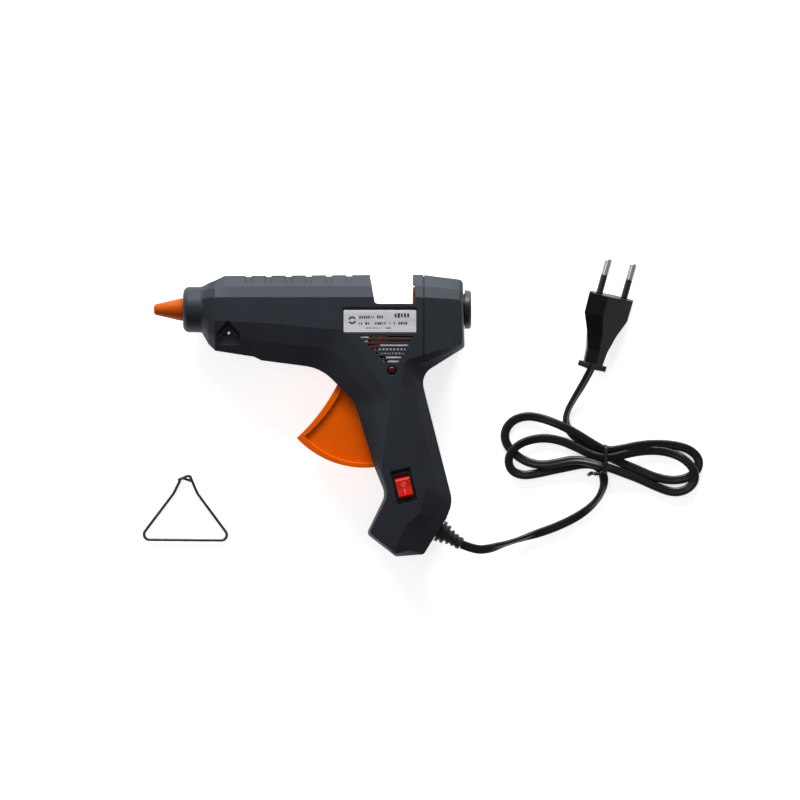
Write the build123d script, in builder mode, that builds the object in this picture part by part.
from build123d import *
from math import atan2, cos, degrees, hypot, pi, radians, sin, tan
import os

# A trigger-fed hot glue gun for 11 mm sticks. It lies on its right side on the table plane z = 0,
# with its nozzle along -X, its grip along -Y and its left side up. The row origin is on the table,
# right under the barrel's axis (the line y = 0, z = MID), level with the trigger's pivot in X.
# Beside it lie its bent-wire front stand and its tied-up mains lead with the plug.

os.makedirs("parts", exist_ok=True)


# ---------------------------------------------------------------- driving dimensions (mm)

MID = 16.0                 # height of the parting plane: the housing is 2 * MID thick
BAND = 9.5                 # the outline runs straight this far each side of the parting plane
SHOULDER = 13.6            # height, over the parting plane, of the line between the two bevels
WALL = 2.2                 # housing wall

BORE_R = 5.95              # every bore that an 11.2 mm glue stick passes

NOSE_X = -76.5             # where the housing halves end and the nose cap starts
COLLAR_X = -83.5           # where the nose cap turns round
NOSE_TIP_X = -93.2
COLLAR_R = 11.7

FREE = 0.1                 # gap round a part that lies in its seat
CHAMBER_R = 8.6
NOTCH_FLOOR_Y = 2.8        # lower edge of the open stick window
NOTCH_FRONT = [(2.6, 30), (2.6, 17.6), (5.1, 3.4)]
NOTCH_BACK_X = 24.5
CARRIAGE_X = 24.5          # front face of the feed carriage at rest

PIVOT = (0.0, -33.5)       # trigger pivot
TRIGGER_R = 47.6           # the trigger's lower rim is an arc about its pivot
LINK_R = 20.5              # from the pivot to the pin that drives the carriage
LINK_REST = 16.0           # degrees by which the link arm leans back at rest
SLOT_HALF = 8.0            # half width of the slot that the trigger moves in

SWITCH = (20.1, -91.0)     # rocker switch centre
SWITCH_LEAN = 13.2         # degrees by which the switch leans with the grip
LAMP = (13.9, -31.2)
LAMP_R = 2.45
LAMP_TOP = 0.6             # its dome stands this far over the side face
DOME_R = 2.96

CORD_W = 4.6               # width of the flat two-core lead
GLAND = (38.0, -113.2)     # centre of the gland's seat on the grip
GLAND_TURN = -32.0         # direction of the gland, degrees from +X

# Housing screws: centre x, y.
SCREWS = [(-60.0, -18.9), (-36.0, -22.0), (38.0, -20.5), (27.0, -50.0), (12.5, -109.5)]


# The housing's outline, clockwise from the top of the front end. Each row is a corner at the
# parting plane, the same corner on the flat side face, and the radius each of them is rounded to.
OUTLINE = [
    ((NOSE_X, 14.9), (NOSE_X, 6.0), 0, 0),
    ((-71.6, 17.2), (-71.6, 6.1), 3, 3),
    ((28.6, 17.8), (28.6, 6.2), 4, 4),
    ((50.2, 15.1), (49.4, 4.8), 2.6, 2.6),
    ((51.1, -19.4), (50.2, -17.4), 2.5, 2.5),
    ((28.6, -33.5), (20.3, -26.2), 9.2, 5),
    ((31.1, -44.2), (19.2, -39.0), 0, 0),
    ((45.0, -98.4), (31.6, -92.0), 14, 8),
    ((41.7, -107.1), (28.3, -104.3), 0, 0),
    ((34.1, -119.0), (21.2, -110.0), 0, 0),
    ((30.2, -125.4), (16.6, -120.0), 2, 2),
    ((15.8, -126.5), (15.0, -124.3), 3, 3),
    ((0.9, -114.9), (2.3, -114.2), 2.5, 2.5),
    ((10.6, -94.9), (12.0, -95.0), 9, 9),
    ((5.2, -81.5), (8.4, -82.0), 0, 0),
    ((-5.2, -47.5), (13.4, -46.0), 14, 12),
    ((-22.4, -30.1), (-10.0, -10.8), 24, 10),
    ((-53.0, -26.1), (-53.0, -7.0), 0, 0),
    ((-57.0, -24.2), (-57.0, -6.9), 0, 0),
    ((NOSE_X, -21.2), (NOSE_X, -5.9), 0, 0),
]


# ---------------------------------------------------------------- helpers

def at(height):
    """The horizontal plane this far over the parting plane."""
    return Plane.XY.offset(MID + height)


def inset(corners, distance):
    """Move each side of a clockwise outline inwards by a distance, and give the new corners."""
    moved = []
    count = len(corners)
    for i, (x, y) in enumerate(corners):
        (x0, y0), (x1, y1) = corners[i - 1], corners[(i + 1) % count]
        before, after = hypot(x - x0, y - y0), hypot(x1 - x, y1 - y)
        n0 = ((y - y0) / before, -(x - x0) / before)
        n1 = ((y1 - y) / after, -(x1 - x) / after)
        scale = distance / (1 + n0[0] * n1[0] + n0[1] * n1[1])
        moved.append((x + (n0[0] + n1[0]) * scale, y + (n0[1] + n1[1]) * scale))
    return moved


def outline(share, wall=0.0):
    """The outline's corners and radii, a share of the way from the parting plane to the side."""
    corners = [
        (a[0] + (b[0] - a[0]) * share, a[1] + (b[1] - a[1]) * share) for a, b, _, _ in OUTLINE
    ]
    radii = [ra + (rb - ra) * share for _, _, ra, rb in OUTLINE]
    if wall:
        corners = inset(corners, wall)
        radii = [r and max(r - wall, 0.8) for r in radii]
    return corners, radii


def outline_face(share, wall=0.0):
    """Fill the sketch in hand with the outline."""
    corners, radii = outline(share, wall)
    with BuildLine() as rim:
        FilletPolyline(*corners, radius=radii, close=True)
    make_face(rim.edges())


def polar(center, radius, angle):
    return (center[0] + radius * cos(radians(angle)), center[1] + radius * sin(radians(angle)))


def route_radii(points):
    """The largest radius that each bend of a cord's route has room for."""
    radii = []
    for a, b, c in zip(points, points[1:], points[2:]):
        before, after = Vector(*b) - Vector(*a), Vector(*c) - Vector(*b)
        turn = radians(before.get_angle(after))
        radii.append(0.45 * min(before.length, after.length) / tan(turn / 2))
    return radii


def section_plane(points):
    """The plane across the start of a route."""
    return Plane(origin=points[0], z_dir=Vector(*points[1]) - Vector(*points[0]))


# ---------------------------------------------------------------- the housing's common forms

TOP_SHARE = 0.5            # the upper bevels meet this far from the outline to the side face

with BuildPart() as outer_form:
    with BuildSketch(at(0)):
        outline_face(0)
    extrude(amount=BAND)
    with BuildSketch(at(BAND)):
        outline_face(0)
    with BuildSketch(at(SHOULDER)):
        outline_face(TOP_SHARE)
    with BuildSketch(at(MID)):
        outline_face(1)
    loft(ruled=True)

CAVITY_BAND = 8.1          # the cavity's own band and shoulder, over the parting plane
CAVITY_SHOULDER = 11.6

with BuildPart() as cavity_form:
    with BuildSketch(at(0)):
        outline_face(0, WALL)
    extrude(amount=CAVITY_BAND)
    with BuildSketch(at(CAVITY_BAND)):
        outline_face(0, WALL)
    with BuildSketch(at(CAVITY_SHOULDER)):
        outline_face(TOP_SHARE, WALL)
    with BuildSketch(at(MID - WALL)):
        outline_face(1, WALL)
    loft(ruled=True)

GROOVE_DEPTH = 0.65
GROOVE_XS = [-59.6 + 10.3 * i for i in range(6)]      # finger grooves over the barrel
GROOVE_WIDTH = 3.2
GROOVE_REACH = 9.0
GROOVE_Y = 18.0
REAR_LINE_X = 30.2         # the fine line round the rear of the housing
REAR_LINE = (0.7, 46.0)
GROOVE_BAND = 9.1
GROOVE_SHOULDER = 13.0
CUT_OVER = 1.0             # cuts run this far past the face that they open

with BuildPart() as groove_core:
    with BuildSketch(at(0)):
        outline_face(0, GROOVE_DEPTH)
    extrude(amount=GROOVE_BAND)
    with BuildSketch(at(GROOVE_BAND)):
        outline_face(0, GROOVE_DEPTH)
    with BuildSketch(at(GROOVE_SHOULDER)):
        outline_face(TOP_SHARE, GROOVE_DEPTH)
    with BuildSketch(at(MID - GROOVE_DEPTH)):
        outline_face(1, GROOVE_DEPTH)
    loft(ruled=True)

with BuildPart() as groove_form:
    with BuildSketch(at(0)):
        with Locations(*[(x, GROOVE_Y) for x in GROOVE_XS]):
            Rectangle(GROOVE_WIDTH, GROOVE_REACH)
        with Locations((REAR_LINE_X, -1.0)):
            Rectangle(*REAR_LINE)
    extrude(amount=MID + CUT_OVER)
    add(groove_core.part, mode=Mode.SUBTRACT)

# The pocket for the front stand: an arched recess in the lower bevel with a socket at its top.
POCKET = [(-69.8, -5.6), (-64.0, -12.2), (-64.2, -18.2), (-74.8, -18.2), (-75.6, -12.2)]
POCKET_FLOOR = 11.2        # over the parting plane
SOCKET = (-69.8, -12.0)
SOCKET_R = 0.85
ARCH = [(-74.9, -13.6), (-69.8, -8.2), (-64.7, -13.6)]

BOSS_R = 4.6
PIVOT_BOSS_R = 4.4
PIVOT_BOSS = 7.5           # the pivot bosses stand this far from the parting plane
POCKET_WALL = 1.6
POCKET_ROOT = 7.5
RAIL_HALF = 5.0            # half width of the gap between the carriage's rails
LOWER_RAIL = ((29.0, -13.2), (36.0, 2.0))      # centre and size
UPPER_RAIL = ((37.0, 12.9), (20.0, 1.6))
FRAME_XS = (-71.0, -33.0)  # cross frames that hold the heating chamber
FRAME_SIZE = (2.0, 30.0)
GUIDE = ((3.0, 4.5), (5.0, 27.0))              # cross frame that guides the stick
GUIDE_R = 6.3

with BuildPart() as inner_supports:
    with BuildSketch(at(0)):
        with Locations(*SCREWS):
            Circle(BOSS_R)
    extrude(amount=MID)
    with BuildSketch(at(PIVOT_BOSS)):
        with Locations(PIVOT):
            Circle(PIVOT_BOSS_R)
    extrude(amount=MID)
    with BuildSketch(at(POCKET_ROOT)):
        with BuildLine():
            Polyline(*inset(POCKET, -POCKET_WALL), close=True)
        make_face()
    extrude(amount=MID)
    with BuildSketch(at(RAIL_HALF)):
        for spot, extent in (LOWER_RAIL, UPPER_RAIL):
            with Locations(spot):
                Rectangle(*extent)
    extrude(amount=MID)
    with BuildSketch(at(0)):
        with Locations(*[(x, 2.0) for x in FRAME_XS]):
            Rectangle(*FRAME_SIZE)
        with Locations(GUIDE[0]):
            Rectangle(*GUIDE[1])
    extrude(amount=MID)
    with BuildSketch(Plane.YZ.offset(-73.0)):
        with Locations((0, MID)):
            Circle(CHAMBER_R + FREE)
    extrude(amount=42.0, mode=Mode.SUBTRACT)
    with BuildSketch(Plane.YZ.offset(-1.0)):
        with Locations((0, MID)):
            Circle(GUIDE_R)
    extrude(amount=8.0, mode=Mode.SUBTRACT)
    add(outer_form.part, mode=Mode.INTERSECT)

NOTCH = NOTCH_FRONT + [
    (6.4, NOTCH_FLOOR_Y),
    (NOTCH_BACK_X + 1.3, NOTCH_FLOOR_Y),
    (NOTCH_BACK_X + 1.3, 11.8),
    (NOTCH_BACK_X, 12.8),
    (NOTCH_BACK_X, 30),
]
NOTCH_RADII = [0, 3, 1.2, 0.6, 0.8, 0.5, 0.5, 0]
SLOT_R = TRIGGER_R + 0.7

with BuildPart() as slot_form:
    with BuildSketch(at(0)):
        with BuildLine():
            rim_end = polar(PIVOT, SLOT_R, 281)
            rim_start = polar(PIVOT, SLOT_R, 255)
            Polyline(rim_start, (-17.0, -38.4), (-13.6, -35.4), (-4.0, -29.0), (9.0, -46.0), rim_end)
            ThreePointArc(rim_end, polar(PIVOT, SLOT_R, 268), rim_start)
        make_face()
    extrude(amount=SLOT_HALF)

VENT_ROWS = 7
VENT_PITCH = 2.06
VENT_TOP = -14.2
VENT_LEFT = (-2.6, 2.0)    # end of the top slot, and how much further in each next one ends
VENT_RIGHT = (24.7, -1.2)
VENT_WIDTH = 0.95
ARCH_WIDTH = 1.5
NOTCH_R = 2.3              # the small three-cornered notch round the stand's socket
CAP_SPIGOT_R = 10.75       # the nose cap's spigot
INLET_SEAT_R = 8.2
GLAND_NECK_R = 3.9

with BuildPart() as half_form:
    add(outer_form.part)
    add(cavity_form.part, mode=Mode.SUBTRACT)
    add(inner_supports.part)
    add(groove_form.part, mode=Mode.SUBTRACT)
    add(slot_form.part, mode=Mode.SUBTRACT)
    with BuildSketch(at(0)):
        with BuildLine():
            FilletPolyline(*NOTCH, radius=NOTCH_RADII, close=True)
        make_face()
    extrude(amount=MID + CUT_OVER, mode=Mode.SUBTRACT)
    with BuildSketch(at(POCKET_FLOOR)):
        with BuildLine():
            Polyline(*POCKET, close=True)
        make_face()
    extrude(amount=MID, mode=Mode.SUBTRACT)
    with BuildSketch(at(POCKET_FLOOR - 0.2)):
        with BuildLine():
            Polyline(*ARCH, *reversed([(x, y - ARCH_WIDTH) for x, y in ARCH]), close=True)
        make_face()
    extrude(amount=2.0)
    with BuildSketch(at(POCKET_FLOOR)):
        with Locations((SOCKET[0], SOCKET[1] - 0.5)):
            RegularPolygon(NOTCH_R, 3, rotation=90)
    extrude(amount=-1.2, mode=Mode.SUBTRACT)
    with BuildSketch(at(0)):
        with Locations(SOCKET):
            Circle(SOCKET_R)
    extrude(amount=MID, mode=Mode.SUBTRACT)
    with BuildSketch(at(MID - 5)):
        for row in range(VENT_ROWS):
            left = VENT_LEFT[0] + VENT_LEFT[1] * row
            right = VENT_RIGHT[0] + VENT_RIGHT[1] * row
            with Locations(((left + right) / 2, VENT_TOP - VENT_PITCH * row)):
                SlotOverall(right - left, VENT_WIDTH)
    extrude(amount=6, mode=Mode.SUBTRACT)
    with BuildSketch(Plane.YZ.offset(NOSE_X - 1)):
        with Locations((0, MID)):
            Circle(CAP_SPIGOT_R + 0.15)
    extrude(amount=4.8, mode=Mode.SUBTRACT)
    with BuildSketch(Plane.YZ.offset(47.5)):
        with Locations((0, MID)):
            Circle(INLET_SEAT_R + FREE)
    extrude(amount=5.0, mode=Mode.SUBTRACT)
    with BuildSketch(Plane(origin=(*GLAND, MID), z_dir=(*polar((0, 0), 1, GLAND_TURN), 0))):
        Circle(GLAND_NECK_R + FREE)
    extrude(amount=8.0, both=True, mode=Mode.SUBTRACT)

# ---------------------------------------------------------------- housing

LABEL = (7.75, -6.15)
LABEL_SIZE = (37.1, 11.3)
SWITCH_PLANE = Plane(
    origin=(*SWITCH, 2 * MID), x_dir=(*polar((0, 0), 1, SWITCH_LEAN), 0), z_dir=(0, 0, 1)
)
RECESS = 2.0               # depth of the switch's recess
RECESS_FLOOR = (9.8, 15.6)
RECESS_MOUTH = (10.3, 17.6)
RECESS_WALL = (14.0, 20.0)
SWITCH_HOLE = (8.8, 13.6)
LABEL_POCKET = 0.5         # depth of the label's pocket
LABEL_MARGIN = (1.0, 1.9)
PIVOT_PIN_R = 2.0
PIVOT_PIN_HALF = 12.5
PIN_FREE = 0.05            # gap round a steel pin
SPRING_POST = (27.0, -22.5)
SPRING_POST_R = 1.5
SCREW_HOLE_R = 1.7
WELL_R = 3.2
WELL_FLOOR = 6.0           # height of the screw wells' floors over the table
PILOT_R = 1.45

with BuildPart() as left_housing:
    add(half_form.part)
    with BuildSketch(SWITCH_PLANE.offset(-RECESS - 2.0)):
        Rectangle(*RECESS_WALL)
    extrude(amount=2.2)
    with BuildSketch(SWITCH_PLANE.offset(-RECESS)):
        Rectangle(*RECESS_FLOOR)
    with BuildSketch(SWITCH_PLANE.offset(FREE)):
        with Locations((0, 0.8)):
            Rectangle(*RECESS_MOUTH)
    loft(mode=Mode.SUBTRACT)
    with BuildSketch(SWITCH_PLANE.offset(-7.0)):
        Rectangle(*SWITCH_HOLE)
    extrude(amount=8, mode=Mode.SUBTRACT)
    with BuildSketch(at(MID)):
        with Locations((LABEL[0], LABEL[1] + 0.5)):
            RectangleRounded(LABEL_SIZE[0] + LABEL_MARGIN[0], LABEL_SIZE[1] + LABEL_MARGIN[1], 0.8)
    extrude(amount=-LABEL_POCKET, mode=Mode.SUBTRACT)
    with BuildSketch(at(MID - 6)):
        with Locations(LAMP):
            Circle(LAMP_R + 0.05)
    extrude(amount=7, mode=Mode.SUBTRACT)
    with BuildSketch(at(0)):
        with Locations(*SCREWS):
            Circle(PILOT_R)
    extrude(amount=7.5, mode=Mode.SUBTRACT)
    with BuildSketch(at(0)):
        with Locations(PIVOT):
            Circle(PIVOT_PIN_R + PIN_FREE)
    extrude(amount=PIVOT_PIN_HALF + FREE, mode=Mode.SUBTRACT)
    with BuildSketch(at(7.0)):
        with Locations(SPRING_POST):
            Circle(SPRING_POST_R)
    extrude(amount=7.0)
left_housing.part.label = "left_housing"

# The two posts that the lead's clamp is screwed to.
gland_dir = polar((0, 0), 1, GLAND_TURN)


def inside(distance):
    """A point this far inwards of the gland's seat, on its axis."""
    return (GLAND[0] - gland_dir[0] * distance, GLAND[1] - gland_dir[1] * distance)


CLAMP = inside(12.5)
CLAMP_PLANE = Plane(origin=(*CLAMP, MID), x_dir=(*gland_dir, 0), z_dir=(0, 0, 1))
CLAMP_HALF = 5.2           # the clamp's screws are this far from the lead's centre line
CLAMP_POST_R = 2.3
CLAMP_BAR = (5.0, 15.0)
CLAMP_SCREW_R = 1.0
CLAMP_HEAD_R = 2.1
CLAMP_POST_TOP = 1.3       # over the parting plane
CLAMP_ROOT = 14.6          # the posts stand on the side wall, this far under the parting plane

with BuildPart() as clamp_posts:
    with BuildSketch(CLAMP_PLANE.offset(-CLAMP_ROOT)):
        with Locations((0, CLAMP_HALF), (0, -CLAMP_HALF)):
            Circle(CLAMP_POST_R)
    extrude(amount=CLAMP_ROOT + CLAMP_POST_TOP)
    with BuildSketch(CLAMP_PLANE.offset(-CLAMP_ROOT)):
        Rectangle(4.0, 8.0)
    extrude(amount=CLAMP_ROOT - 1.4)
    with BuildSketch(CLAMP_PLANE.offset(-9.0)):
        with Locations((0, CLAMP_HALF), (0, -CLAMP_HALF)):
            Circle(CLAMP_SCREW_R + PIN_FREE)
    extrude(amount=12.0, mode=Mode.SUBTRACT)

with BuildPart() as right_housing:
    mirror(half_form.part, about=at(0))
    add(clamp_posts.part)
    with BuildSketch(Plane.XY):
        with Locations(*SCREWS):
            Circle(WELL_R)
    extrude(amount=WELL_FLOOR, mode=Mode.SUBTRACT)
    with BuildSketch(Plane.XY):
        with Locations(*SCREWS):
            Circle(SCREW_HOLE_R)
    extrude(amount=MID, mode=Mode.SUBTRACT)
    with BuildSketch(at(0)):
        with Locations(PIVOT):
            Circle(PIVOT_PIN_R + PIN_FREE)
    extrude(amount=-PIVOT_PIN_HALF - FREE, mode=Mode.SUBTRACT)
right_housing.part.label = "right_housing"


# The nose cap: ten-sided where it meets the housing, round at its collar.
NOSE_END = [(14.9, 9.5), (10.45, SHOULDER), (6.0, MID), (-5.9, MID), (-13.55, SHOULDER), (-21.2, 9.5)]
CAP_INNER_R = 9.6
CAP_MOUTH_R = 6.35         # hole at the front, round the nozzle cover
NOSE_MID = [(13.5, 7.4), (10.6, 10.9), (6.0, 13.6), (-6.0, 13.6), (-12.2, 11.2), (-17.9, 7.2)]


def ten_sided(half):
    """Fill the sketch in hand with a section given by its half, as (height, half width) corners."""
    left = [(y, MID + z) for y, z in half]
    right = [(y, MID - z) for y, z in reversed(half)]
    with BuildLine() as rim:
        Polyline(*left, *right, close=True)
    make_face(rim.edges())


with BuildPart() as nose_cap:
    with BuildSketch(Plane.YZ.offset(NOSE_X)):
        ten_sided(NOSE_END)
    with BuildSketch(Plane.YZ.offset(-80.0)):
        ten_sided(NOSE_MID)
    with BuildSketch(Plane.YZ.offset(COLLAR_X)):
        ten_sided([(y * 0.985, z) for y, z in ((11.9, 3.6), (9.6, 7.6), (5.0, 11.2),
                                               (-5.0, 11.2), (-9.6, 7.6), (-12.0, 3.6))])
    loft(ruled=True)
    with BuildSketch(Plane.XY.offset(MID)):
        with BuildLine():
            Polyline((-82.3, 0), (-82.3, 12.2), (-84.6, COLLAR_R), (-90.4, COLLAR_R))
            ThreePointArc((-90.4, COLLAR_R), (-92.4, 10.6), (NOSE_TIP_X, 8.4))
            Polyline((NOSE_TIP_X, 8.4), (NOSE_TIP_X, 0), (-82.3, 0))
        make_face()
    revolve(axis=Axis((0, 0, MID), (1, 0, 0)))
    with BuildSketch(Plane.YZ.offset(NOSE_X)):
        with Locations((0, MID)):
            Circle(CAP_SPIGOT_R)
    extrude(amount=3.4)
    with BuildSketch(Plane.YZ.offset(-90.0)):
        with Locations((0, MID)):
            Circle(CAP_INNER_R)
    extrude(amount=20.0, mode=Mode.SUBTRACT)
    with BuildSketch(Plane.YZ.offset(-94.0)):
        with Locations((0, MID)):
            Circle(CAP_MOUTH_R)
    extrude(amount=6.0, mode=Mode.SUBTRACT)
nose_cap.part.label = "nose_cap"

BARREL = Axis((0, 0, MID), (1, 0, 0))

with BuildPart() as inlet_ring:
    with BuildSketch(Plane.XY.offset(MID)):
        with BuildLine():
            Polyline((45.8, BORE_R), (45.8, INLET_SEAT_R), (51.12, INLET_SEAT_R), (51.12, 9.9), (53.6, 9.9),
                     (54.5, 9.0), (54.5, 7.4), (53.0, BORE_R), close=True)
        make_face()
    revolve(axis=BARREL)
inlet_ring.part.label = "inlet_ring"

# ---------------------------------------------------------------- heater, nozzle and stick sleeve

CHAMBER_FRONT = -89.6
CHAMBER_BACK = -24.0
HEATER_Y = -10.9
HEATER = (2.8, 10.8)       # the heater's section
HEATER_POCKET = (3.2, 11.2)
HEATER_LENGTH = 24.0
TAB_HALF = 3.4             # the heater's tabs are this far from the middle
CLIP_LENGTH = 8.0
HEX_R = 6.0                # the nozzle's hexagon, over its corners

with BuildPart() as heating_chamber:
    with BuildSketch(Plane.XY.offset(MID)):
        with BuildLine():
            Polyline((CHAMBER_FRONT, 3.9), (CHAMBER_FRONT, 7.0), (-88.0, CHAMBER_R),
                     (CHAMBER_BACK, CHAMBER_R), (CHAMBER_BACK, 7.4), (-18.0, 7.4), (-18.0, BORE_R + 0.4),
                     (-20.0, BORE_R), (-77.0, BORE_R), (-83.0, 2.2), (-84.2, 2.2), (-84.2, 3.9), close=True)
        make_face()
    revolve(axis=BARREL)
    with BuildSketch(Plane.YZ.offset(-66.0)):
        with Locations((-10.2, MID)):
            Rectangle(6.6, 14.0)
    extrude(amount=26.0)
    with BuildSketch(Plane.YZ.offset(-67.0)):
        with Locations((HEATER_Y, MID)):
            Rectangle(*HEATER_POCKET)
    extrude(amount=28.0, mode=Mode.SUBTRACT)
    with BuildSketch(Plane.YZ.offset(-77.0)):
        with Locations((0, MID)):
            Circle(BORE_R)
    extrude(amount=60.0, mode=Mode.SUBTRACT)
heating_chamber.part.label = "heating_chamber"

with BuildPart() as ptc_heater:
    with BuildSketch(Plane.YZ.offset(-65.0)):
        with Locations((HEATER_Y, MID)):
            Rectangle(*HEATER)
    extrude(amount=HEATER_LENGTH)
    with BuildSketch(Plane.YZ.offset(-41.0)):
        with Locations((HEATER_Y, MID - TAB_HALF), (HEATER_Y, MID + TAB_HALF)):
            Rectangle(0.6, 2.4)
    extrude(amount=5.0)
ptc_heater.part.label = "ptc_heater"

with BuildPart() as heater_clip:
    with BuildSketch(Plane.YZ.offset(-54.0)):
        with Locations((-10.5, MID)):
            Rectangle(7.2, 15.3)
        with Locations((-10.2, MID)):
            Rectangle(6.8, 14.3, mode=Mode.SUBTRACT)
        with Locations((-7.0, MID)):
            Rectangle(1.0, 15.0, mode=Mode.SUBTRACT)
    extrude(amount=CLIP_LENGTH)
heater_clip.part.label = "heater_clip"

with BuildPart() as nozzle:
    with BuildSketch(Plane.XY.offset(MID)):
        with BuildLine():
            Polyline((-84.4, 1.6), (-84.4, 3.85), (-89.7, 3.85), (-92.3, 3.85), (-92.4, 4.0), (-105.6, 1.9),
                     (-106.6, 1.5), (-106.6, 0.8), (-100.0, 0.8), (-95.0, 1.6), close=True)
        make_face()
    revolve(axis=BARREL)
    with BuildSketch(Plane.YZ.offset(-92.3)):
        with Locations((0, MID)):
            RegularPolygon(HEX_R, 6)
            Circle(3.0, mode=Mode.SUBTRACT)
    extrude(amount=2.6)
nozzle.part.label = "nozzle"

with BuildPart() as nozzle_cover:
    with BuildSketch(Plane.XY.offset(MID)):
        with BuildLine():
            Polyline((-92.6, 4.1), (-92.6, 5.9), (-94.4, 5.8), (-106.2, 3.1))
            ThreePointArc((-106.2, 3.1), (-107.7, 2.5), (-108.3, 1.5))
            Polyline((-108.3, 1.5), (-106.8, 1.3), (-106.6, 1.7), (-105.5, 2.0), (-92.6, 4.1))
        make_face()
    revolve(axis=BARREL)
nozzle_cover.part.label = "nozzle_cover"

with BuildPart() as stick_sleeve:
    with BuildSketch(Plane.XY.offset(MID)):
        with BuildLine():
            Polyline((-23.8, 7.45), (-23.8, 8.9), (-13.0, 8.9), (-9.0, 7.6), (-9.0, BORE_R + 0.5),
                     (-10.0, BORE_R), (-17.8, BORE_R), (-17.8, 7.45), close=True)
        make_face()
    revolve(axis=BARREL)
stick_sleeve.part.label = "stick_sleeve"

SLEEVE_CLAMP_R = 9.7
SLEEVE_CLAMP_WIDTH = 2.4

with BuildPart() as sleeve_clamp:
    with BuildSketch(Plane.YZ.offset(-22.4)):
        with Locations((0, MID)):
            Circle(SLEEVE_CLAMP_R)
            Circle(SLEEVE_CLAMP_R - 0.75, mode=Mode.SUBTRACT)
        with Locations((-11.0, MID)):
            Rectangle(3.4, 3.0)
    extrude(amount=SLEEVE_CLAMP_WIDTH)
sleeve_clamp.part.label = "sleeve_clamp"

# ---------------------------------------------------------------- feed: carriage, claw, trigger

LINK = polar(PIVOT, LINK_R, 90 - LINK_REST)
GRIP_PIN = (29.0, 8.9)
GRIP_PIN_R = 0.95
GRIP_HALF = 1.9            # half width of the gripper
BAR_HALF = 3.5             # half width of the carriage's drive bar
CARRIAGE_FACE = (23.4, 18.0)
CARRIAGE_TUBE_R = 7.7
LINK_PIN_R = 1.48
LINK_HALF = 6.5            # half length of the link pin, and half width of the trigger's arm
ARM_END_R = 3.3

with BuildPart() as feed_carriage:
    with BuildSketch(Plane.YZ.offset(CARRIAGE_X)):
        with Locations((-0.2, MID)):
            RectangleRounded(*CARRIAGE_FACE, 3.0)
    extrude(amount=6.5)
    with BuildSketch(Plane.YZ.offset(CARRIAGE_X + 6.0)):
        with Locations((0, MID)):
            Circle(CARRIAGE_TUBE_R)
    extrude(amount=13.0)
    with BuildSketch(Plane.XY.offset(MID - BAR_HALF)):
        with BuildLine():
            Polyline((2.2, -17.0), (2.2, -10.6), (3.0, -9.8), (29.0, -9.8), (29.0, -14.0), (26.0, -17.0),
                     close=True)
        make_face()
    extrude(amount=2 * BAR_HALF)
    with BuildSketch(Plane.XY.offset(MID - BAR_HALF - 1)):
        with Locations((LINK[0], -13.4)):
            SlotOverall(4.6, 3.5, rotation=90)
    extrude(amount=2 * BAR_HALF + 2, mode=Mode.SUBTRACT)
    with BuildSketch(Plane.YZ.offset(CARRIAGE_X - 1)):
        with Locations((0, MID)):
            Circle(BORE_R)
    extrude(amount=30.0, mode=Mode.SUBTRACT)
    with BuildSketch(Plane.XY.offset(MID - 2.2)):
        with Locations((27.7, 9.0)):
            Rectangle(7.0, 6.4)
    extrude(amount=4.4, mode=Mode.SUBTRACT)
    with BuildSketch(Plane.XY.offset(MID - 6)):
        with Locations(GRIP_PIN):
            Circle(GRIP_PIN_R + 0.03)
    extrude(amount=12, mode=Mode.SUBTRACT)
feed_carriage.part.label = "feed_carriage"

with BuildPart() as gripper_pin:
    with BuildSketch(Plane.XY.offset(MID - 5.8)):
        with Locations(GRIP_PIN):
            Circle(GRIP_PIN_R)
    extrude(amount=11.6)
gripper_pin.part.label = "gripper_pin"

with BuildPart() as stick_gripper:
    with BuildSketch(Plane.XY.offset(MID - GRIP_HALF)):
        with BuildLine():
            Polyline((30.3, 10.0), (28.0, 10.6), (25.6, 8.4), (25.3, 5.95), (26.4, 6.5), (26.8, 6.05),
                     (27.8, 7.0), (30.3, 7.7), close=True)
        make_face()
        with Locations(GRIP_PIN):
            Circle(GRIP_PIN_R + 0.08, mode=Mode.SUBTRACT)
    extrude(amount=2 * GRIP_HALF)
stick_gripper.part.label = "stick_gripper"

TRIGGER_HALF = 7.5         # half width over the rims
RIM = 2.5                  # width of the rims
RIM_STEP = 0.3             # the trigger's body is this much narrower on each side
WEB_HALF = 5.6             # half width of the thin web between the rims
HUB_R = 5.4
SPRING_ARM = 12.5          # from the pivot to the peg of the return spring
SPRING_PEG_R = 1.1
FRONT_TOP = (-13.9, -38.0)
FRONT_MID = (-23.0, -52.7)
FRONT_LOW = polar(PIVOT, TRIGGER_R, 222.8)
BACK_LOW = polar(PIVOT, TRIGGER_R, 281)

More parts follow.
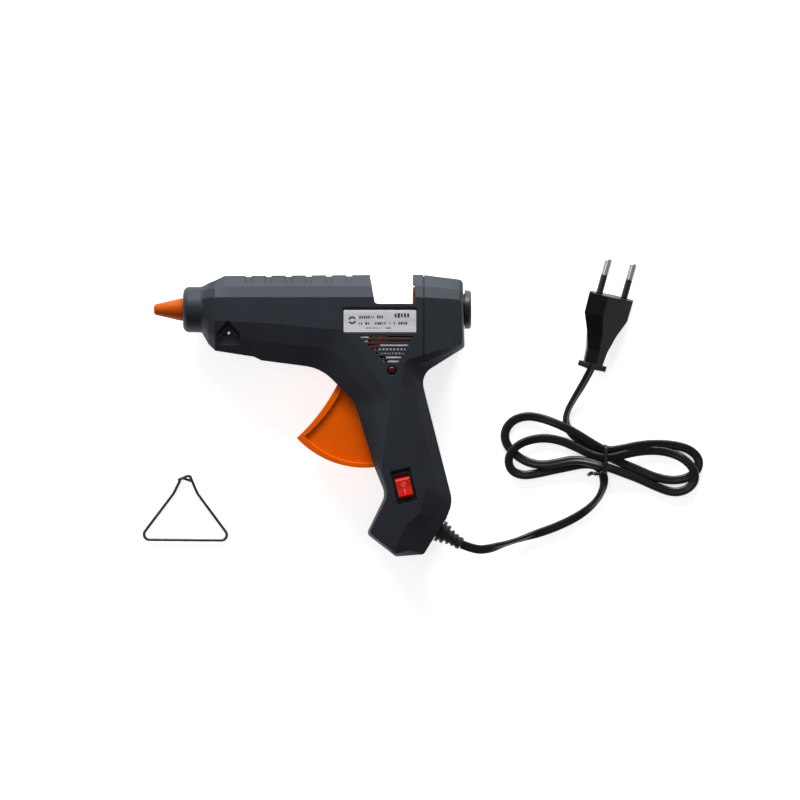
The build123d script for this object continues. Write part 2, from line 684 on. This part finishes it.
with BuildPart() as trigger:
    with BuildSketch(Plane.XY.offset(MID - TRIGGER_HALF + RIM_STEP)):
        with BuildLine():
            ThreePointArc(FRONT_TOP, FRONT_MID, FRONT_LOW)
            ThreePointArc(FRONT_LOW, polar(PIVOT, TRIGGER_R, 252), BACK_LOW)
            Polyline(BACK_LOW, (4.6, -36.5), (0.0, -28.3), (-6.0, -32.2), FRONT_TOP)
        make_face()
    extrude(amount=2 * (TRIGGER_HALF - RIM_STEP))
    with BuildSketch(Plane.XY.offset(MID - LINK_HALF)):
        with Locations(PIVOT):
            Circle(HUB_R)
        with Locations(LINK):
            Circle(ARM_END_R)
        with BuildLine():
            arm = polar((0, 0), ARM_END_R, -LINK_REST)
            Polyline((PIVOT[0] - arm[0], PIVOT[1] - arm[1]), (LINK[0] - arm[0], LINK[1] - arm[1]),
                     (LINK[0] + arm[0], LINK[1] + arm[1]), (PIVOT[0] + arm[0], PIVOT[1] + arm[1]),
                     close=True)
        make_face()
    extrude(amount=2 * LINK_HALF)
    with BuildSketch(Plane.XY.offset(MID)) as web:
        with BuildLine():
            inner_low = polar(PIVOT, TRIGGER_R - RIM, 223.5)
            inner_back = polar(PIVOT, TRIGGER_R - RIM, 283)
            ThreePointArc((-11.6, -40.6), (-20.2, -54.3), (inner_low[0] + 2.0, inner_low[1] - 0.6))
            ThreePointArc((inner_low[0] + 2.0, inner_low[1] - 0.6), polar(PIVOT, TRIGGER_R - RIM, 252),
                          inner_back)
            Polyline(inner_back, (7.6, -42.0), (-4.0, -40.4), (-11.6, -40.6))
        make_face()
    with BuildSketch(Plane.XY.offset(MID + WEB_HALF)):
        add(web.sketch)
    extrude(amount=3.0, mode=Mode.SUBTRACT)
    with BuildSketch(Plane.XY.offset(MID - WEB_HALF)):
        add(web.sketch)
    extrude(amount=-3.0, mode=Mode.SUBTRACT)
    with BuildSketch(Plane.XY.offset(MID - BAR_HALF - 0.4)):
        with Locations((LINK[0], LINK[1] + 1.0)):
            Rectangle(20.0, 13.0)
    extrude(amount=2 * BAR_HALF + 0.8, mode=Mode.SUBTRACT)
    with BuildSketch(Plane.XY.offset(MID - 12)):
        with Locations(PIVOT):
            Circle(PIVOT_PIN_R + 0.06)
        with Locations(LINK):
            Circle(LINK_PIN_R + 0.04)
    extrude(amount=24, mode=Mode.SUBTRACT)
    with BuildSketch(Plane.XY.offset(MID + 6.0)):
        with Locations(polar(PIVOT, SPRING_ARM, 90 - LINK_REST)):
            Circle(SPRING_PEG_R)
    extrude(amount=4.6)
trigger.part.label = "trigger"

with BuildPart() as trigger_pin:
    with BuildSketch(at(-PIVOT_PIN_HALF)):
        with Locations(PIVOT):
            Circle(PIVOT_PIN_R)
    extrude(amount=2 * PIVOT_PIN_HALF)
trigger_pin.part.label = "trigger_pin"

with BuildPart() as link_pin:
    with BuildSketch(at(-LINK_HALF)):
        with Locations(LINK):
            Circle(LINK_PIN_R)
    extrude(amount=2 * LINK_HALF)
link_pin.part.label = "link_pin"

# The return spring runs from the peg on the trigger's arm to a post in the left half.
SPRING_PEG = polar(PIVOT, SPRING_ARM, 90 - LINK_REST)
SPRING_R = 2.1
SPRING_RISE = 9.3
SPRING_HOOK = 3.2          # from a peg's axis to the coil's end
HOOK_R = 0.3
HOOK_LENGTH = 2.2

spring_turn = degrees(atan2(SPRING_POST[1] - SPRING_PEG[1], SPRING_POST[0] - SPRING_PEG[0]))
spring_length = hypot(SPRING_POST[0] - SPRING_PEG[0], SPRING_POST[1] - SPRING_PEG[1])
SPRING_PLANE = Plane(
    origin=(*SPRING_PEG, MID + SPRING_RISE), x_dir=(0, 0, 1), z_dir=(*polar((0, 0), 1, spring_turn), 0)
)
with BuildPart() as trigger_spring:
    with BuildSketch(SPRING_PLANE.offset(SPRING_HOOK)):
        Circle(SPRING_R)
        Circle(SPRING_R - 0.6, mode=Mode.SUBTRACT)
    extrude(amount=spring_length - 2 * SPRING_HOOK)
    for reach in (SPRING_HOOK / 2, spring_length - 4.0):
        with BuildSketch(SPRING_PLANE.offset(reach)):
            with Locations((0, SPRING_R - 0.35)):
                Circle(HOOK_R)
        extrude(amount=HOOK_LENGTH)
trigger_spring.part.label = "trigger_spring"

# ---------------------------------------------------------------- lamp, label, switch

LAMP_BODY = 2.6            # depth of the lamp under the side face
LAMP_FLANGE = 0.45
LEG_HALF = 1.27            # the lamp's legs are this far from its axis

with BuildPart() as lamp:
    with BuildSketch(at(MID - LAMP_BODY)):
        with Locations(LAMP):
            Circle(LAMP_R)
    extrude(amount=LAMP_BODY + LAMP_TOP)
    with Locations((*LAMP, 2 * MID + LAMP_TOP - DOME_R)):
        Sphere(DOME_R, mode=Mode.INTERSECT)
    with BuildSketch(at(MID - 3.4)):
        with Locations(LAMP):
            Circle(LAMP_R + LAMP_FLANGE)
    extrude(amount=1.0)
lamp.part.label = "indicator_lamp"

with BuildPart() as lamp_leads:
    with BuildSketch(at(3.0)):
        with Locations((LAMP[0] - LEG_HALF, LAMP[1]), (LAMP[0] + LEG_HALF, LAMP[1])):
            Circle(0.3)
    extrude(amount=9.55)
    with BuildSketch(at(5.0)):
        with Locations((LAMP[0] + LEG_HALF, LAMP[1])):
            Circle(1.0)
    extrude(amount=5.0)
lamp_leads.part.label = "lamp_leads"

with BuildPart() as rating_label:
    with BuildSketch(at(MID - LABEL_POCKET)):
        with Locations(LABEL):
            RectangleRounded(*LABEL_SIZE, 0.7)
    extrude(amount=LABEL_POCKET / 2)
rating_label.part.label = "rating_label"

ROCKER_AXIS_DEPTH = 3.9    # the rocker's axle is this far under the side face
ROCKER_TILT = 8.0
ROCKER_WIDTH = 7.4
SWITCH_FLANGE = (9.4, 15.2)
SWITCH_CASE = (8.6, 13.4)
SWITCH_HOLLOW = (7.9, 12.8)
ROCKER_PLANE = SWITCH_PLANE.offset(-ROCKER_AXIS_DEPTH)

with BuildPart() as switch_body:
    with BuildSketch(SWITCH_PLANE.offset(-13.0)):
        Rectangle(*SWITCH_CASE)
    extrude(amount=11.6)
    with BuildSketch(SWITCH_PLANE.offset(-RECESS + 0.02)):
        Rectangle(*SWITCH_FLANGE)
    extrude(amount=0.9)
    with BuildSketch(SWITCH_PLANE.offset(-7.4)):
        Rectangle(*SWITCH_HOLLOW)
    extrude(amount=8.0, mode=Mode.SUBTRACT)
    with BuildSketch(Plane(origin=ROCKER_PLANE.origin, x_dir=(0, 0, 1), z_dir=ROCKER_PLANE.x_dir)):
        Circle(0.86)
    extrude(amount=6.0, both=True, mode=Mode.SUBTRACT)
switch_body.part.label = "rocker_switch_body"

# The rocker's profile across its axle: (along the switch, over the axle).
ROCKER = [(-5.9, 2.0), (-4.9, 4.3), (-0.9, 3.6), (3.2, 3.7), (5.9, 2.0), (3.0, -2.4), (-3.0, -2.4)]
rocker_side = Plane(
    origin=ROCKER_PLANE.origin - ROCKER_PLANE.x_dir * (ROCKER_WIDTH / 2),
    x_dir=ROCKER_PLANE.y_dir.rotate(Axis((0, 0, 0), ROCKER_PLANE.x_dir), -ROCKER_TILT),
    z_dir=ROCKER_PLANE.x_dir,
)
with BuildPart() as rocker_button:
    with BuildSketch(rocker_side):
        with BuildLine():
            Polyline(*ROCKER, close=True)
        make_face()
    extrude(amount=ROCKER_WIDTH)
    with BuildSketch(rocker_side.offset(-0.4)):
        Circle(0.8)
    extrude(amount=ROCKER_WIDTH + 0.8)
rocker_button.part.label = "rocker_button"

with BuildPart() as switch_terminals:
    with BuildSketch(SWITCH_PLANE.offset(-19.5)):
        with Locations((0, 4.2), (0, -4.2)):
            Rectangle(4.6, 0.8)
    extrude(amount=6.45)
switch_terminals.part.label = "switch_terminals"

# ---------------------------------------------------------------- fasteners

HEAD_R = 2.9
HEAD_HEIGHT = 1.8
SHANK_R = 1.4
SHANK_LENGTH = 16.8
CROSS = (3.6, 0.9)

with BuildPart() as housing_screws:
    with BuildSketch(Plane.XY.offset(WELL_FLOOR - HEAD_HEIGHT)):
        with Locations(*SCREWS):
            Circle(HEAD_R)
    extrude(amount=HEAD_HEIGHT)
    with BuildSketch(Plane.XY.offset(WELL_FLOOR)):
        with Locations(*SCREWS):
            Circle(SHANK_R)
    extrude(amount=SHANK_LENGTH)
    for spot in SCREWS:
        with BuildSketch(Plane.XY.offset(WELL_FLOOR - HEAD_HEIGHT)):
            with Locations(spot):
                Rectangle(*CROSS)
                Rectangle(*reversed(CROSS))
        extrude(amount=1.1, mode=Mode.SUBTRACT)
housing_screws.part.label = "housing_screws"

# ---------------------------------------------------------------- cord gland and clamp

GLAND_PLANE = Plane(origin=(*GLAND, MID), x_dir=(0, 0, 1), z_dir=(*gland_dir, 0))
GLAND_LENGTH = 13.4
CORD_FLAT = 2.5            # thickness of the flat lead
INNER_END = 13.0           # length of the lead inside the housing, up to where its cores part
GLAND_PROFILE = [(-4.6, 0), (-4.6, 5.0), (-2.9, 5.0), (-2.9, 3.9), (0.25, 3.9), (0.25, 5.8), (1.9, 5.8),
                 (2.1, 4.4), (3.0, 4.4), (3.2, 5.2), (4.6, 5.0), (4.8, 3.3), (5.9, 3.2), (6.1, 4.1),
                 (7.4, 4.0), (7.6, 3.0), (8.6, 2.95), (8.8, 3.6), (10.0, 3.5), (10.2, 2.9), (11.2, 2.85),
                 (11.4, 3.3), (GLAND_LENGTH - 0.4, 3.2), (GLAND_LENGTH, 2.8), (GLAND_LENGTH, 0)]
gland_side = Plane(origin=(*GLAND, MID), x_dir=(*gland_dir, 0), z_dir=(0, 0, 1))
with BuildPart() as cord_gland:
    with BuildSketch(gland_side):
        with BuildLine():
            Polyline(*GLAND_PROFILE, close=True)
        make_face()
    revolve(axis=Axis((*GLAND, MID), (*gland_dir, 0)))
cord_gland.part.label = "cord_gland"

with BuildPart() as cord_inner_end:
    with BuildSketch(GLAND_PLANE.offset(-4.62)):
        RectangleRounded(CORD_FLAT, CORD_W, 1.2)
    extrude(amount=-INNER_END)
cord_inner_end.part.label = "cord_inner_end"

with BuildPart() as cord_clamp:
    with BuildSketch(CLAMP_PLANE.offset(1.35)):
        RectangleRounded(*CLAMP_BAR, 1.5)
        with Locations((0, CLAMP_HALF), (0, -CLAMP_HALF)):
            Circle(CLAMP_SCREW_R + 0.25, mode=Mode.SUBTRACT)
    extrude(amount=2.2)
cord_clamp.part.label = "cord_clamp"

with BuildPart() as clamp_screws:
    with BuildSketch(CLAMP_PLANE.offset(-8.0)):
        with Locations((0, CLAMP_HALF), (0, -CLAMP_HALF)):
            Circle(CLAMP_SCREW_R)
    extrude(amount=11.6)
    with BuildSketch(CLAMP_PLANE.offset(3.56)):
        with Locations((0, CLAMP_HALF), (0, -CLAMP_HALF)):
            Circle(CLAMP_HEAD_R)
    extrude(amount=1.4)
clamp_screws.part.label = "clamp_screws"

# ---------------------------------------------------------------- inner wires

WIRE_R = 0.9
LIVE = [(*inside(18.7), MID + 1.3), (19.6, -101.2, 14.4), (18.0, -96.0, 10.6), (18.5, -90.4, 8.4),
        (19.2, -86.9, 11.0)]
NEUTRAL = [(*inside(18.7), MID - 1.3), (25.2, -98.5, 10.0), (27.4, -88.0, 6.6), (26.4, -78.0, 5.9),
           (20.8, -60.0, 5.9), (14.8, -42.0, 5.9), (10.4, -25.0, 6.4), (-8.0, -16.0, 6.4),
           (-24.0, -15.6, 7.4), (-36.0, -13.9, 11.4)]
SWITCHED = [(20.9, -95.2, 11.4), (21.2, -95.6, 8.4), (24.2, -87.0, 6.4), (23.4, -78.0, 5.9),
            (18.0, -60.0, 5.9), (12.0, -42.0, 5.9), (5.6, -28.4, 6.4), (-10.0, -20.6, 7.2),
            (-24.0, -19.4, 9.0), (-29.6, -17.6, 16.6), (-35.8, -13.9, 20.0)]

with BuildPart() as live_wire:
    with BuildLine() as live_route:
        FilletPolyline(*LIVE, radius=1.5)
    with BuildSketch(section_plane(LIVE)):
        Circle(WIRE_R)
    sweep(path=live_route.line)
live_wire.part.label = "live_wire"

with BuildPart() as neutral_wire:
    with BuildLine() as neutral_route:
        FilletPolyline(*NEUTRAL, radius=2.0)
    with BuildSketch(section_plane(NEUTRAL)):
        Circle(WIRE_R)
    sweep(path=neutral_route.line)
neutral_wire.part.label = "neutral_wire"

with BuildPart() as switched_wire:
    with BuildLine() as switched_route:
        FilletPolyline(*SWITCHED, radius=1.2)
    with BuildSketch(section_plane(SWITCHED)):
        Circle(WIRE_R)
    sweep(path=switched_route.line)
switched_wire.part.label = "switched_wire"

# ---------------------------------------------------------------- front stand, unclipped beside the gun

STAND_WIRE_R = 0.75
STAND_Z = STAND_WIRE_R
STAND = [(-89.4, -88.1, STAND_Z), (-94.6, -86.4, STAND_Z), (-98.5, -94.4, STAND_Z),
         (-116.6, -118.3, STAND_Z), (-68.4, -118.7, STAND_Z), (-86.4, -94.4, STAND_Z),
         (-90.3, -85.0, STAND_Z + 1.8), (-96.4, -87.6, STAND_Z + 1.8)]

with BuildPart() as wire_stand:
    with BuildLine() as stand_route:
        FilletPolyline(*STAND, radius=[1.2, 12, 2.8, 2.8, 12, 1.4])
    with BuildSketch(section_plane(STAND)):
        Circle(STAND_WIRE_R)
    sweep(path=stand_route.line)
wire_stand.part.label = "wire_stand"

# ---------------------------------------------------------------- mains lead, hank, tie and plug

CORD_R = CORD_W / 2
LEAD_Z = CORD_R + 0.1
gland_end = (GLAND[0] + gland_dir[0] * GLAND_LENGTH, GLAND[1] + gland_dir[1] * GLAND_LENGTH)
LEAD = [(*gland_end, MID), (57.0, -124.0, 15.2), (65.4, -124.2, 11.2), (73.6, -121.2, 6.2),
        (83.0, -118.0, LEAD_Z), (93.0, -114.8, LEAD_Z), (103.6, -110.6, LEAD_Z), (113.4, -105.8, LEAD_Z),
        (120.6, -99.2, LEAD_Z), (124.0, -91.6, LEAD_Z), (124.0, -84.2, LEAD_Z)]
HANK_TOP = 11.5
HANK = [(70.0, -69.5), (71.0, -56.0), (86.0, -51.5), (103.5, -59.8), (123.6, -69.2), (149.5, -67.4),
        (165.5, -67.4), (175.5, -78.0), (170.0, -94.5), (156.5, -96.5), (125.1, -83.6),
        (100.4, -82.6), (80.9, -88.2), (70.5, -82.0)]
HANK_RADII = [9, 9, 14, 10, 6, 8, 8, 9, 8, 8, 10, 12, 8, 8]
TIE_X = 123.6
TAIL = [(103.2, -59.2, LEAD_Z), (103.9, -52.3, LEAD_Z), (107.6, -45.6, 3.0), (112.2, -38.2, 5.2)]
PLUG_FOOT = (116.4, -30.2, 8.2)      # centre of the plug's flange, where the lead enters
PLUG_LEAN = 15.4                     # degrees that the plug points off +Y, towards +X
PLUG_RISE = 5.6                      # degrees that its pins point up off the table
PLUG_ROLL = 45.0                     # degrees that it is rolled about its own axis

with BuildPart() as cord_lead:
    with BuildLine() as lead_route:
        FilletPolyline(*LEAD, radius=route_radii(LEAD))
    with BuildSketch(section_plane(LEAD)):
        Circle(CORD_R)
    sweep(path=lead_route.line)
cord_lead.part.label = "cord_lead"

TIE_THICK = 0.6            # how deep the tie sits in the hank, above and below
TIE_WIDTH = 3.0
TIE_REACH = 14.1           # inner width of the tie, across the bundle
BUNDLE_Y = -76.4

with BuildPart() as cord_hank:
    with BuildSketch(Plane.XY):
        with BuildLine():
            FilletPolyline(*HANK, radius=HANK_RADII, close=True)
        make_face()
    extrude(amount=HANK_TOP)
    with BuildSketch(Plane.YZ.offset(TIE_X - TIE_WIDTH / 2 - FREE)):
        with Locations((BUNDLE_Y, HANK_TOP / 2)):
            Rectangle(20.0, HANK_TOP + 2)
            Rectangle(TIE_REACH - FREE, HANK_TOP - 2 * TIE_THICK, mode=Mode.SUBTRACT)
    extrude(amount=TIE_WIDTH + 2 * FREE, mode=Mode.SUBTRACT)
cord_hank.part.label = "cord_hank"

with BuildPart() as cord_tie:
    with BuildSketch(Plane.YZ.offset(TIE_X - TIE_WIDTH / 2)):
        with Locations((BUNDLE_Y, HANK_TOP / 2)):
            Rectangle(TIE_REACH + 1.0, HANK_TOP)
            Rectangle(TIE_REACH, HANK_TOP - 2 * TIE_THICK + FREE, mode=Mode.SUBTRACT)
    extrude(amount=TIE_WIDTH)
cord_tie.part.label = "cord_tie"

plug_axis = Vector(
    sin(radians(PLUG_LEAN)) * cos(radians(PLUG_RISE)),
    cos(radians(PLUG_LEAN)) * cos(radians(PLUG_RISE)),
    sin(radians(PLUG_RISE)),
)
plug_side = Vector(cos(radians(PLUG_LEAN)), -sin(radians(PLUG_LEAN)), 0)
PLUG_PLANE = Plane(
    origin=PLUG_FOOT, x_dir=plug_side.rotate(Axis((0, 0, 0), plug_axis), PLUG_ROLL), z_dir=plug_axis
)
TAIL = TAIL + [PLUG_FOOT]

with BuildPart() as cord_tail:
    with BuildLine() as tail_route:
        FilletPolyline(*TAIL, radius=route_radii(TAIL))
    with BuildSketch(section_plane(TAIL)):
        Circle(CORD_R)
    sweep(path=tail_route.line)
cord_tail.part.label = "cord_tail"

PLUG_LENGTH = 38.8
PIN_HALF = 9.3             # the pins' axes are this far from the plug's
PIN_R = 2.0
CORE_R = 1.5               # the pins are thinner inside their sleeves and in the plug
PIN_ROOT = 8.9             # how deep the pins sit in the plug
FLANGE = (13.4, 9.0)
FLANGE_THICK = 2.7
# Sections of the plug's body: distance from the flange's foot, half width, half width of its flats,
# half thickness.
PLUG_SECTIONS = [(2.6, 6.2, 2.6, 4.6), (10.0, 6.8, 3.0, 5.0), (19.0, 10.8, 5.2, 5.9),
                 (28.0, 16.2, 9.2, 6.8), (PLUG_LENGTH, 16.6, 9.4, 6.8)]

with BuildPart() as plug_body:
    for reach, half, flat, thick in PLUG_SECTIONS:
        with BuildSketch(PLUG_PLANE.offset(reach)):
            with BuildLine():
                Polyline((half, 0), (flat, thick), (-flat, thick), (-half, 0), (-flat, -thick),
                         (flat, -thick), close=True)
            make_face()
    loft(ruled=True)
    with BuildSketch(PLUG_PLANE):
        RectangleRounded(*FLANGE, 1.2)
    extrude(amount=FLANGE_THICK)
    with BuildSketch(PLUG_PLANE.offset(PLUG_LENGTH)):
        with Locations((PIN_HALF, 0), (-PIN_HALF, 0)):
            Circle(CORE_R + PIN_FREE)
    extrude(amount=-PIN_ROOT - FREE, mode=Mode.SUBTRACT)
plug_body.part.label = "plug_body"

PIN_LENGTH = 19.0
SLEEVE_LENGTH = 10.0
SLEEVE_R = 1.75            # the sleeves stay under the pins' full radius
with BuildPart() as plug_pins:
    with BuildSketch(PLUG_PLANE.offset(PLUG_LENGTH - PIN_ROOT)):
        with Locations((PIN_HALF, 0), (-PIN_HALF, 0)):
            Circle(CORE_R)
    extrude(amount=PIN_ROOT + SLEEVE_LENGTH)
    with BuildSketch(PLUG_PLANE.offset(PLUG_LENGTH + SLEEVE_LENGTH)):
        with Locations((PIN_HALF, 0), (-PIN_HALF, 0)):
            Circle(PIN_R)
    extrude(amount=PIN_LENGTH - SLEEVE_LENGTH)
    fillet(plug_pins.faces().sort_by(Axis(PLUG_FOOT, plug_axis))[-2:].edges(), radius=1.5)
plug_pins.part.label = "plug_pins"

with BuildPart() as plug_pin_sleeves:
    with BuildSketch(PLUG_PLANE.offset(PLUG_LENGTH + 0.02)):
        for side in (PIN_HALF, -PIN_HALF):
            with Locations((side, 0)):
                Circle(SLEEVE_R)
                Circle(CORE_R + 0.04, mode=Mode.SUBTRACT)
    extrude(amount=SLEEVE_LENGTH - 0.04)
plug_pin_sleeves.part.label = "plug_pin_sleeves"

# ---------------------------------------------------------------- files and figures

PIECES = [
    left_housing, right_housing, nose_cap, inlet_ring, heating_chamber, ptc_heater, heater_clip,
    nozzle, nozzle_cover, stick_sleeve, sleeve_clamp, feed_carriage, gripper_pin, stick_gripper,
    trigger, trigger_pin, link_pin, trigger_spring, lamp, lamp_leads, rating_label, switch_body,
    rocker_button, switch_terminals, housing_screws, cord_gland, cord_inner_end, cord_clamp,
    clamp_screws, live_wire, neutral_wire, switched_wire, wire_stand, cord_lead, cord_hank,
    cord_tie, cord_tail, plug_body, plug_pins, plug_pin_sleeves,
]
for piece in PIECES:
    part = piece.part
    if not part.is_valid or part.volume <= 0:
        print("CHECK", part.label, part.is_valid, part.volume)
    export_step(part, f"parts/{part.label}.step")
print(len(PIECES), "pieces")

for name, points, route, tube in (
    ("lead", LEAD, lead_route.line, cord_lead.part),
    ("tail", TAIL, tail_route.line, cord_tail.part),
):
    length = sum(edge.length for edge in route.edges())
    print(name, "length", round(length, 1), "radii", [round(r, 1) for r in route_radii(points)],
          "volume ratio", round(tube.volume / (pi * CORD_R**2 * length), 4))
